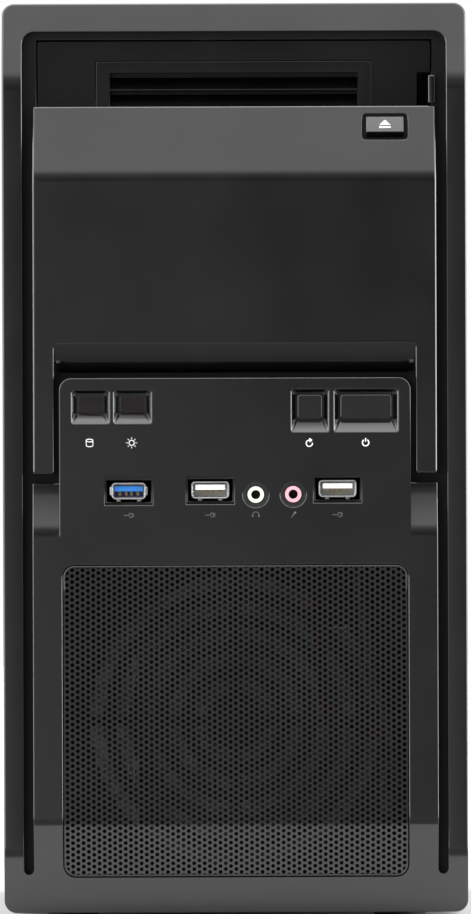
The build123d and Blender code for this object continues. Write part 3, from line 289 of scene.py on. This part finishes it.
# Each CAD node's slot and the width in millimetres of its rounded corners
PLAIN = {
    "bezel_plastic": {"drive_shroud": 0.4},
    "key_plastic": {"power_button": 0.2, "reset_button": 0.2, "eject_key": 0.25},
    "lens_plastic": {"drive_lamp_lens": 0.35, "power_lamp_lens": 0.35},
    "black_paint": {"left_side_panel": 0.2, "right_side_panel": 0.2, "chassis_top": 0.2},
    "zinc_steel": {"chassis_base": 0, "chassis_rear_plate": 0.15, "motherboard_tray": 0,
                   "drive_cage_525": 0, "drive_cage_35": 0, "psu_case": 0.15, "slot_covers": 0.15},
    "bright_steel": {"usb3_socket_shell": 0.12, "usb2_socket_shells": 0.12, "rear_sockets": 0.2},
    "screw_zinc": {"case_screws": 0.12, "left_thumbscrews": 0.1, "right_thumbscrews": 0.1},
    "brass": {"board_standoffs": 0.1},
    "chrome_wire": {"psu_fan_guard": 0.1},
    "foot_rubber": {"rubber_feet": 0.2},
    "fan_plastic": {"psu_fan_frame": 0.2, "rear_fan_frame": 0.2, "cpu_fan_frame": 0.2,
                    "psu_fan_rotor": 0.2, "rear_fan_rotor": 0.2, "cpu_fan_rotor": 0.2,
                    "fan_screws": 0.1},
    "pcb_green": {"motherboard": 0, "control_board": 0, "front_io_board": 0, "psu_circuit_board": 0,
                  "memory_module": 0},
    "socket_black": {"memory_slots": 0.2, "expansion_slots": 0.2, "board_components": 0.2,
                     "psu_mains_inlet": 0.25},
    "usb_blue": {"usb3_socket_tongue": 0.15},
    "usb_white": {"usb2_socket_tongues": 0.15},
    "jack_green": {"headphone_socket": 0.1},
    "jack_pink": {"microphone_socket": 0.1},
    "switch_black": {"tact_switches": 0.1, "psu_rocker": 0.2, "psu_rocker_frame": 0.25},
    "heatsink_aluminium": {"cpu_heatsink": 0.1},
    "drive_metal": {"hard_drive": 0.3},
    "cable_black": {"power_leads": 0.3, "front_panel_lead": 0.2},
    "cable_red": {"drive_data_cable": 0.2},
    "diode_clear": {"lamp_diodes": 0.1},
}


def make_plain_pieces():
    for slot, nodes in PLAIN.items():
        for node, width in nodes.items():
            finished(node, slot, width)
    # The front plate behind the grille takes the near-black, dull finish: painted shade that keeps the
    # grille's holes dark
    finished("chassis_front_plate", "black_paint", 0, "painted_shade_black")


# The pockets' heights above the bezel's foot, their reach from its middle, the depth that their inner
# corners lie beyond, and the depths that the recess's floor lies between, in millimetres
POCKET_HEIGHTS, POCKET_REACH, POCKET_DEPTH = (183, 206), 66, 2
RECESS_DEPTHS = (16.5, 17.5)


def make_bezel():
    """The bezel with wide lips round its pockets, and the duller floor and covers of its recess."""
    bm = bare_copy("front_bezel")
    low, high = (BEZEL_FOOT + height * MM for height in POCKET_HEIGHTS)
    near, far = ((FRONT_Y + reach * MM) / MM for reach in RECESS_DEPTHS)

    def by_pockets(edge):
        a, b = (vert.co for vert in edge.verts)
        level = low < min(a.z, b.z) and max(a.z, b.z) < high
        return level and max(abs(a.x), abs(b.x)) < POCKET_REACH * MM

    def depth(edge):
        return max(vert.co.y for vert in edge.verts) - FRONT_Y

    def recess_floor(points, normal):
        return normal.y < -0.9 and all(near < point.y < far for point in points)

    soften(bm, LIP * MM, lambda edge: by_pockets(edge) and depth(edge) < 0.05 * MM, 4)
    for edge in bm.edges:
        if by_pockets(edge) and depth(edge) > POCKET_DEPTH * MM:
            edge.seam = False
    finished("front_bezel", "bezel_plastic", 0.45, bm=bm)
    repaint("front_bezel", "recess_plastic", recess_floor)
    finished("bay_cover_525", "bezel_plastic", 0.3, "cover_plastic")
    finished("bay_insert_35", "bezel_plastic", 0.3, "cover_plastic")


def repaint(node, finish, chosen):
    """Gives another finish to faces of a finished node, chosen by corners in millimetres and normal."""
    mesh = bpy.data.objects[f"{node}_finished"].data
    mesh.materials.append(FINISHES[finish])
    index = len(mesh.materials) - 1
    for polygon in mesh.polygons:
        if chosen([mesh.vertices[i].co / MM for i in polygon.vertices], polygon.normal):
            polygon.material_index = index


# ---------------------------------------------------------------- intake grille

TILT = 5.0 / 13.5
PANEL_BEND, BEND_REACH = BEZEL_FOOT + 35.5 * MM, 1.95 * MM
HOLE_COLUMN, HOLE_PITCH, HOLE_R = 2.04 * MM, 2.30 * MM, 0.83 * MM
GRILLE_CORNER, CORNER_STEPS = 4.4 * MM, 6
GRILLE_SHEET, RIM_SHEET, TINY = 0.6 * MM, 0.3 * MM, 0.01 * MM
# The folded edge's shoulder from the sheet outwards, as (inset, depth) in millimetres
SHOULDER = [(0.55, 0.02), (0.3, -0.02), (0.1, 0.1), (0.0, 0.4)]


def lean(z):
    """How far the lower panel's face has leaned back at a height, round its bend."""
    below = PANEL_BEND - z
    if below > BEND_REACH:
        return below * TILT
    return TILT * max(0.0, below + BEND_REACH) ** 2 / (4 * BEND_REACH)


def rounded_outline(low, high, radius):
    """Points (x, z) round a rectangle with rounded corners, anticlockwise."""
    points = []
    corners = ((high.x, high.z), (low.x, high.z), (low.x, low.z), (high.x, low.z))
    for quarter, (x, z) in enumerate(corners):
        centre_x = x - math.copysign(radius, x - (low.x + high.x) / 2)
        centre_z = z - math.copysign(radius, z - (low.z + high.z) / 2)
        for step in range(CORNER_STEPS + 1):
            angle = math.pi / 2 * (quarter + step / CORNER_STEPS)
            points.append((centre_x + radius * math.cos(angle), centre_z + radius * math.sin(angle)))
    return points


def hole_cell(bm, x, z):
    """The sheet around one hole: six faces between the hole's edge and the cell's border."""
    half = (HOLE_COLUMN ** 2 - HOLE_PITCH ** 2 / 4) / (2 * HOLE_COLUMN)
    side = HOLE_COLUMN - half
    border = [(side, 0), (half, HOLE_PITCH / 2), (-half, HOLE_PITCH / 2),
              (-side, 0), (-half, -HOLE_PITCH / 2), (half, -HOLE_PITCH / 2)]
    outer = [bm.verts.new((x + u, 0, z + w)) for u, w in border]
    scale = [HOLE_R / math.hypot(u, w) for u, w in border]
    inner = [bm.verts.new((x + u * k, 0, z + w * k)) for (u, w), k in zip(border, scale)]
    for i in range(6):
        j = (i + 1) % 6
        bm.faces.new((outer[i], outer[j], inner[j], inner[i]))


def make_grille():
    """The perforated sheet, cut to its rounded outline and leaned back round the panel's bend."""
    low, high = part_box("mesh_grille")
    bm = bmesh.new()
    columns = int((high.x - low.x) / HOLE_COLUMN / 2) + 2
    rows = int((high.z - low.z) / HOLE_PITCH / 2) + 2
    middle = (low + high) / 2
    for column in range(-columns, columns + 1):
        for row in range(-rows, rows + 1):
            shift = HOLE_PITCH / 2 * (column % 2)
            hole_cell(bm, middle.x + column * HOLE_COLUMN, middle.z + row * HOLE_PITCH + shift)
    bmesh.ops.remove_doubles(bm, verts=bm.verts, dist=TINY)
    outline = rounded_outline(low, high, GRILLE_CORNER)
    for (x0, z0), (x1, z1) in zip(outline, outline[1:] + outline[:1]):
        if math.hypot(x1 - x0, z1 - z0) > TINY:
            everything = [*bm.verts, *bm.edges, *bm.faces]
            bmesh.ops.bisect_plane(bm, geom=everything, dist=1e-7, clear_outer=True,
                                   plane_co=(x0, 0, z0), plane_no=(z1 - z0, 0, x0 - x1))
    for vert in bm.verts:
        vert.co.y = low.y + lean(vert.co.z)
    for face in bm.faces:
        face.normal_update()
        if face.normal.y > 0:
            face.normal_flip()
    sheet = new_piece("mesh_grille_sheet", bm, "grille_steel", replaces=["mesh_grille"], weighted=False)
    sheet.data.shade_flat()
    solid = sheet.modifiers.new("thickness", "SOLIDIFY")
    solid.thickness = GRILLE_SHEET
    solid.offset = -1
    make_grille_rim(outline, low, high)


def make_grille_rim(outline, low, high):
    """The grille's folded edge: a rounded shoulder and a wall that runs back into the panel."""
    bm = bmesh.new()
    rings = []
    for inset, sink in SHOULDER:
        inward = Vector((inset * MM, 0, inset * MM))
        ring = rounded_outline(low + inward, high - inward, GRILLE_CORNER - inset * MM)
        rings.append([bm.verts.new((x, low.y + lean(z) + sink * MM, z)) for x, z in ring])
    rings.append([bm.verts.new((x, high.y, z)) for x, z in outline])
    for first, second in zip(rings, rings[1:]):
        for i in range(len(first)):
            j = (i + 1) % len(first)
            bm.faces.new((first[i], first[j], second[j], second[i]))
    bmesh.ops.remove_doubles(bm, verts=bm.verts, dist=0.001 * MM)
    rim = new_piece("mesh_grille_rim", bm, "grille_steel", weighted=False)
    solid = rim.modifiers.new("thickness", "SOLIDIFY")
    solid.thickness = RIM_SHEET
    solid.offset = -1


# ---------------------------------------------------------------- ports


def block(bm, x, y, z):
    """A box from its three spans in millimetres."""
    corners = [bm.verts.new((a * MM, b * MM, c * MM)) for a in x for b in y for c in z]
    for face in ((0, 1, 3, 2), (4, 6, 7, 5), (0, 4, 5, 1), (2, 3, 7, 6), (0, 2, 6, 4), (1, 5, 7, 3)):
        bm.faces.new([corners[i] for i in face])


def detail(name, slot, make, body="root", finish=None, width=0.0):
    """A small piece whose mesh a function fills."""
    bm = bmesh.new()
    make(bm)
    bmesh.ops.recalc_face_normals(bm, faces=bm.faces)
    if width:
        for edge in bm.edges:
            edge.seam = True
        soften(bm, width * MM)
    return new_piece(name, bm, slot, body, finish=finish)


# Centres (x, z) of the front jacks, the radii between surround, barrel and bore, and the depth that the
# bore's inside lies beyond, painted black there as painted shade, in millimetres
JACKS = {"headphone_socket": (8.0, 166.2), "microphone_socket": (22.5, 166.3)}
BARREL_R, BORE_R, BORE_DEPTH = 3.3, 1.9, 0.8


def make_jacks():
    """The coloured barrel of each front jack, with a black surround, and the inside of its bore painted
    black as painted shade.
    """
    for node, centre in JACKS.items():
        def surround(points, _, centre=centre):
            reach = [math.hypot(point.x - centre[0], point.z - centre[1]) for point in points]
            # Faces deep inside the bore take the black finish as painted shade
            sunk = all(point.y > FRONT_Y / MM + BORE_DEPTH for point in points)
            return max(reach) > BARREL_R or sunk and max(reach) < BORE_R

        repaint(node, "socket_black", surround)


# The x of each tongue's middle and of the contacts from there, then the springs: half their width, the
# first step's span behind the tongue's front edge, the steps' number and length, the fall to the back,
# the sheet's thickness and how far it starts under the tongue's top, in millimetres
TONGUES = {"usb2_socket_tongues": (-9.6, 39.7), "usb3_socket_tongue": (-41.2,)}
CONTACTS, HALF_SPRING = (-3.5, -1.0, 1.0, 3.5), 0.5
FIRST_STEP, STEPS, STEP_LENGTH = (1.0, 3.1), 5, 2
SPRING_FALL, SPRING_SHEET, SPRING_TOP = 1.5, 0.25, 2.1


def make_contacts():
    """The contact springs under each socket's tongue, bowed down towards the back."""
    for node, centres in TONGUES.items():
        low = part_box(node)[0] / MM
        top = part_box(node)[1].z / MM - SPRING_TOP

        def springs(bm, centres=centres, low=low, top=top):
            for middle in (centre + offset for centre in centres for offset in CONTACTS):
                for step in range(STEPS):
                    drop = SPRING_FALL * math.sin(math.pi / 2 * step / (STEPS - 1))
                    block(bm, (middle - HALF_SPRING, middle + HALF_SPRING),
                          [low.y + end + step * STEP_LENGTH for end in FIRST_STEP],
                          (top - drop - SPRING_SHEET, top - drop))

        detail(f"{node}_contacts", "bright_steel", springs, finish="brass")


# Rear sockets from the top down, as (low x, high x) and (low z, high z) in millimetres
REAR_SOCKETS = [((56.4, 71.4), (242, 257)), ((56.4, 71.4), (225, 240)), ((58.4, 71.4), (186, 218)),
                ((55.4, 71.4), (164, 178)), ((55.4, 71.4), (147, 161)), ((43.4, 71.4), (126, 143)),
                ((36.4, 71.4), (110, 123))]


# Their tongues: how far each end stays from the socket's wall, half the thickness, and the span in
# front of the sockets' back face, and how far from that face the dark inside starts, in millimetres
TONGUE_END, HALF_TONGUE, TONGUE_SPAN, DARK_FROM = 4.0, 1.2, (12.5, 2.5), 0.8


def make_rear_sockets():
    """The shield, the dark inside of each rear socket, and a contact tongue down its middle."""
    finished("io_shield", "bright_steel", 0.05, "shield_steel")
    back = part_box("rear_sockets")[1].y / MM
    repaint("rear_sockets", "socket_black",
            lambda points, _: max(point.y for point in points) < back - DARK_FROM)

    def tongues(bm):
        for x, z in REAR_SOCKETS:
            width, height = x[1] - x[0], z[1] - z[0]
            inset_x, inset_z = width / 2 - HALF_TONGUE, TONGUE_END
            if width > height:
                inset_x, inset_z = TONGUE_END, height / 2 - HALF_TONGUE
            block(bm, (x[0] + inset_x, x[1] - inset_x), [back - end for end in TONGUE_SPAN],
                  (z[0] + inset_z, z[1] - inset_z))

    detail("rear_socket_tongues", "socket_black", tongues, finish="usb_white", width=0.2)


# ---------------------------------------------------------------- printed marks

PRINT_LIFT = 0.02 * MM
# Height of the sockets' marks above the bezel's foot in millimetres, and where the eject key's upper
# face starts above the key's foot and how it slopes
PORT_MARKS, KEY_BEVEL, KEY_SLOPE = 154.3, 2.0 * MM, 3.0 / 6.0


def arc(radius, start, end, centre=(0, 0), squash=1.0, steps=24):
    """Points along an arc, in degrees from +X towards +Z."""
    angles = [math.radians(start + (end - start) * i / steps) for i in range(steps + 1)]
    x, z = centre
    return [(x + radius * math.cos(a), z + squash * radius * math.sin(a)) for a in angles]


def stroke(bm, points, width):
    """A flat ribbon along points (x, z), of one width or tapering between two, with mitred corners."""
    first, last = width if isinstance(width, tuple) else (width, width)
    sides = []
    for i, point in enumerate(points):
        before = Vector(points[i]) - Vector(points[i - 1]) if i else Vector(points[1]) - Vector(point)
        after = Vector(points[i + 1]) - Vector(point) if i + 1 < len(points) else before
        along = (before.normalized() + after.normalized()).normalized()
        half = (first + (last - first) * i / (len(points) - 1)) / 2
        reach = half / max(0.4, along.dot(before.normalized()))
        across = Vector((-along.y, along.x)) * reach
        x, z = point
        sides.append([bm.verts.new((x + s * across.x, 0, z + s * across.y)) for s in (1, -1)])
    for (a, b), (c, d) in zip(sides, sides[1:]):
        bm.faces.new((a, b, d, c))


def print_mark(name, at, strokes, finish="white_print", face=None, body="root", slot="bezel_plastic"):
    """Thin printed strokes, given as (points, width) in millimetres round a centre (x, z) in metres."""
    bm = bmesh.new()
    for points, width in strokes:
        stroke(bm, points, width)
    face = face or (lambda z: FRONT_Y + HOLD_BACK * MM)
    for vert in bm.verts:
        x, z = at[0] + vert.co.x * MM, at[1] + vert.co.z * MM
        vert.co = (x, face(z) - PRINT_LIFT, z)
    bmesh.ops.recalc_face_normals(bm, faces=bm.faces)
    piece = new_piece(name, bm, slot, body, finish=finish, weighted=False)
    solid = piece.modifiers.new("thickness", "SOLIDIFY")
    solid.thickness = PRINT_LIFT / 2
    solid.offset = 0


def front_point(x, height):
    """A point (x, z) in metres from an x and a height above the bezel's foot in millimetres."""
    return x * MM, BEZEL_FOOT + height * MM


def make_front_marks():
    """The pictograms beside the lamps, under the buttons and under the sockets."""
    drum = [(arc(1.3, 0, 360, (0, 0.95), 0.42), 0.25), ([(-1.3, 0.95), (-1.3, -0.9)], 0.25),
            ([(1.3, 0.95), (1.3, -0.9)], 0.25), (arc(1.3, 180, 360, (0, -0.9), 0.42), 0.25)]
    print_mark("drive_mark", front_point(-56.3, 182.4), drum)
    rays = [([(1.5 * c, 1.5 * s), (2.1 * c, 2.1 * s)], 0.2) for c, s in
            ((math.cos(math.pi * i / 4), math.sin(math.pi * i / 4)) for i in range(8))]
    print_mark("power_lamp_mark", front_point(-40.0, 182.4), [(arc(1.0, 0, 360), 0.24), *rays])
    loop = [(arc(1.2, 90, 370), 0.36), ([(0, 1.2), (1.25, 1.2)], (1.8, 0.05))]
    print_mark("reset_mark", front_point(28.8, 182.0), loop)
    standby = [(arc(1.25, 125, 415), 0.42), ([(0, 0.35), (0, 1.65)], 0.42)]
    print_mark("power_mark", front_point(50.6, 182.2), standby)
    shell = [(0.2, -0.75), (0.2, 0.75), (1.3, 0.75), (1.3, -0.75), (0.2, -0.75)]
    plug = [([(-2.0, 0), (0.2, 0)], 0.28), (shell, 0.28),
            ([(1.3, 0.4), (2.1, 0.4)], 0.25), ([(1.3, -0.4), (2.1, -0.4)], 0.25)]
    for name, x in (("usb3", -41.2), ("usb2_left", -9.6), ("usb2_right", 39.7)):
        print_mark(f"{name}_mark", front_point(x, PORT_MARKS), plug, "grey_print")
    band = [(arc(1.2, 0, 180), 0.28), ([(-1.2, 0), (-1.2, -0.8)], 0.55),
            ([(1.2, 0), (1.2, -0.8)], 0.55)]
    print_mark("headphone_mark", front_point(8.0, PORT_MARKS), band, "grey_print")
    capsule = [([(0.9, 1.2), (0.1, 0.1)], 0.8), ([(0.1, 0.1), (-0.9, -1.2)], 0.28)]
    print_mark("microphone_mark", front_point(22.5, PORT_MARKS), capsule, "grey_print")
    make_eject_mark()


def make_eject_mark():
    """A triangle over a bar on the key's sloped upper face."""
    low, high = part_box("eject_key")
    bevel = low.z + KEY_BEVEL
    triangle = [([(0, 2.3), (0, 0.35)], (0.05, 4.4)), ([(-2.2, -0.5), (2.2, -0.5)], 0.65)]
    print_mark("eject_mark", ((low.x + high.x) / 2, low.z + 4.4 * MM), triangle,
               face=lambda z: low.y + (z - bevel) * KEY_SLOPE, body="eject_key", slot="key_plastic")


# ---------------------------------------------------------------- studio

VIEW_HEIGHT = 0.3539
VIEW_CENTRE = Vector((0.0002, FRONT_Y, 0.1808))
CAMERA_DISTANCE = 5.0
CAMERA_ROLL = 0.0033
FLOOR_REACH, FLOOR_SIZE = 0.055, 6.0
# Brightness of the studio from straight behind the object (0) to straight ahead of it (1)
CARDS = [(0.0, 0.30), (0.45, 0.40), (0.53, 14.0), (0.60, 2.7), (0.80, 3.6), (0.85, 1.3), (0.90, 1.3),
         (0.955, 0.30), (0.985, 0.20), (1.0, 0.0)]
# Directions of a card on the right, and that the light ahead grows in
SIDE_CARD, SLANT = Vector((0.995, 0.10, 0.0)), Vector((-1.2, 0, -1))
# Other lights, as first and last level and where along the direction each is reached
AHEAD_LIGHT, AHEAD_SHARE = (0.0, 0.90, -0.03, 0.12), (1, 0, -0.5, 0)
CEILING, SIDE_LIGHT = (0, 2.4, 0.70, 0.85), (0, 7.0, 0.88, 0.95)
GLOW_BELOW, HORIZON = (0.30, 0.05, -0.8, 0.3), (-0.14, -0.05)


def make_camera():
    """A long lens straight at the front, level with its middle."""
    data = bpy.data.cameras.new("camera")
    data.sensor_width = 36.0
    data.lens = data.sensor_width * CAMERA_DISTANCE / VIEW_HEIGHT
    camera = bpy.data.objects.new("camera", data)
    place = Matrix.Translation(VIEW_CENTRE - Vector((0, CAMERA_DISTANCE, 0)))
    rolled = place @ Matrix.Rotation(CAMERA_ROLL, 4, "Y")
    camera.matrix_world = rolled @ Matrix.Rotation(math.radians(90), 4, "X")
    bpy.context.scene.collection.objects.link(camera)
    bpy.context.scene.camera = camera


def make_floor():
    """A large pale floor. Only the part near the object shows in its reflections."""
    paint = surface("floor_paint", grey(0.44), grey(0.46), (0.7, 0.8), 0.002, 0.00001)
    edge = FRONT_Y - FLOOR_REACH
    for name, low, high in (("floor", edge, FLOOR_SIZE), ("floor_front", -FLOOR_SIZE, edge)):
        bm = bmesh.new()
        corners = ((-FLOOR_SIZE, low), (FLOOR_SIZE, low), (FLOOR_SIZE, high), (-FLOOR_SIZE, high))
        bm.faces.new([bm.verts.new((x, y, 0)) for x, y in corners])
        mesh = bpy.data.meshes.new(name)
        bm.to_mesh(mesh)
        bm.free()
        mesh.materials.append(paint)
        floor = bpy.data.objects.new(name, mesh)
        floor.visible_glossy = name == "floor"
        bpy.context.scene.collection.objects.link(floor)


def make_studio_light():
    """Strong cards round the camera and one on the right, a bright ceiling, and a dim glow below."""
    world = bpy.data.worlds.new("studio")
    bpy.context.scene.world = world
    world.use_nodes = True
    tree = world.node_tree
    tree.nodes.clear()
    direction = add(tree, "ShaderNodeTexCoord").outputs["Generated"]
    axes = add(tree, "ShaderNodeSeparateXYZ", {"Vector": direction})
    cards = add(tree, "ShaderNodeValToRGB", {"Fac": remap(tree, axes.outputs["Y"], 1, 0, -1, 1)})
    stops = cards.color_ramp.elements
    while len(stops) < len(CARDS):
        stops.new(0.5)
    for stop, (position, level) in zip(stops, CARDS):
        stop.position = position
        stop.color = (level, level, level, 1)
    slant = add(tree, "ShaderNodeVectorMath", {0: direction, 1: SLANT}, operation="DOT_PRODUCT")
    ahead = remap(tree, slant.outputs["Value"], *AHEAD_LIGHT)
    facing = remap(tree, axes.outputs["Y"], *AHEAD_SHARE)
    ahead = combine(tree, "MULTIPLY", ahead, facing)
    ceiling = remap(tree, axes.outputs["Z"], *CEILING)
    light = combine(tree, "MAXIMUM", cards.outputs["Color"], ceiling)
    light = combine(tree, "ADD", light, ahead)
    side = add(tree, "ShaderNodeVectorMath", {0: direction, 1: SIDE_CARD}, operation="DOT_PRODUCT")
    side = remap(tree, side.outputs["Value"], *SIDE_LIGHT)
    light = combine(tree, "ADD", light, side)
    below = remap(tree, axes.outputs["Y"], *GLOW_BELOW)
    light = remap(tree, axes.outputs["Z"], below, light, *HORIZON)
    studio = add(tree, "ShaderNodeBackground", {"Color": light, "Strength": 1.0})
    backdrop = add(tree, "ShaderNodeBackground", {"Color": (1, 1, 1, 1), "Strength": 1.0})
    seen = add(tree, "ShaderNodeLightPath").outputs["Is Camera Ray"]
    both = add(tree, "ShaderNodeMixShader", {0: seen, 1: studio.outputs[0], 2: backdrop.outputs[0]})
    add(tree, "ShaderNodeOutputWorld", {"Surface": both.outputs[0]})


make_plain_pieces()
make_bezel()
make_grille()
make_jacks()
make_contacts()
make_rear_sockets()
make_front_marks()
make_camera()
make_floor()
make_studio_light()
bpy.context.scene.view_settings.view_transform = "Standard"
